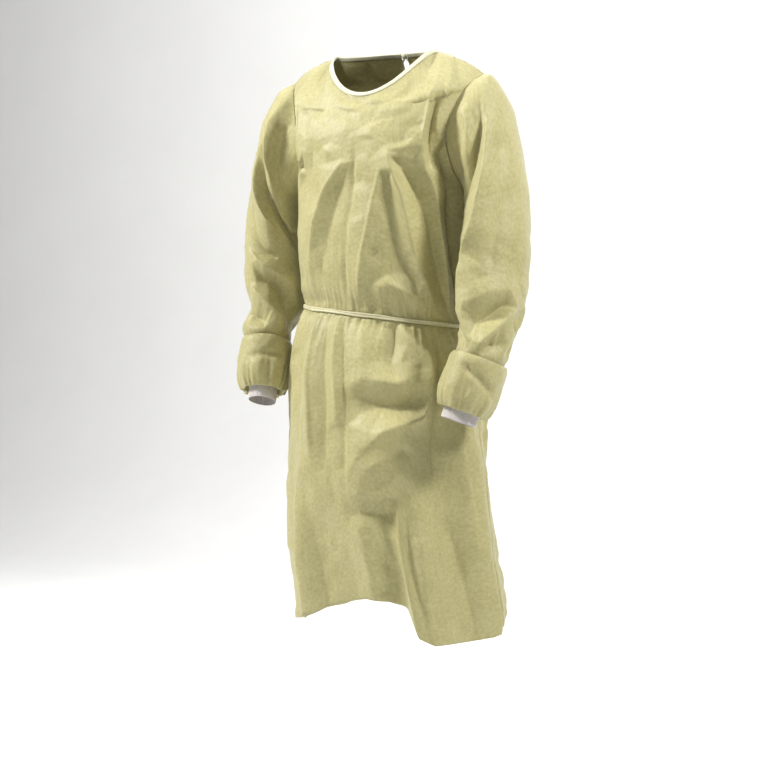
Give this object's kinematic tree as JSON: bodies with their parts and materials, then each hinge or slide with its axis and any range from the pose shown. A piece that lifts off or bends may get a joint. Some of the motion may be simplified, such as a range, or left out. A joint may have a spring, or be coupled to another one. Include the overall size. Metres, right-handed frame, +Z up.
{
  "type": "isolation gown",
  "caption": "Long-sleeved isolation gown worn hollow, with bound round neck, tied waist, overlapping open back, folded-back sleeve ends and knit cuffs.",
  "frame": {"origin": "middle of the neck opening, level with the two points where the shoulder seams meet the neck edge", "axes": "+Z up, along the worn gown from hem to neck; -Y the way the wearer faces; +X towards the wearer's left hand"},
  "size_m": [0.6063, 0.3858, 1.1499],
  "materials": {
    "gown": "matt yellow spunbonded nonwoven",
    "knit": "white rib-knit polyester",
    "binding": "off-white nonwoven tape"
  },
  "bodies": {
    "root": {"front_panel": "gown", "back_panel_left": "gown", "back_panel_right": "gown", "sleeve_left": "gown", "sleeve_right": "gown", "knit_cuff_left": "knit", "knit_cuff_right": "knit", "neck_binding": "binding", "neck_knot": "binding", "neck_tie_end_left": "binding", "neck_tie_end_right": "binding", "waist_tie": "gown", "waist_knot": "gown", "waist_tie_end_left": "gown", "waist_tie_end_right": "gown"}
  },
  "joints": []
}
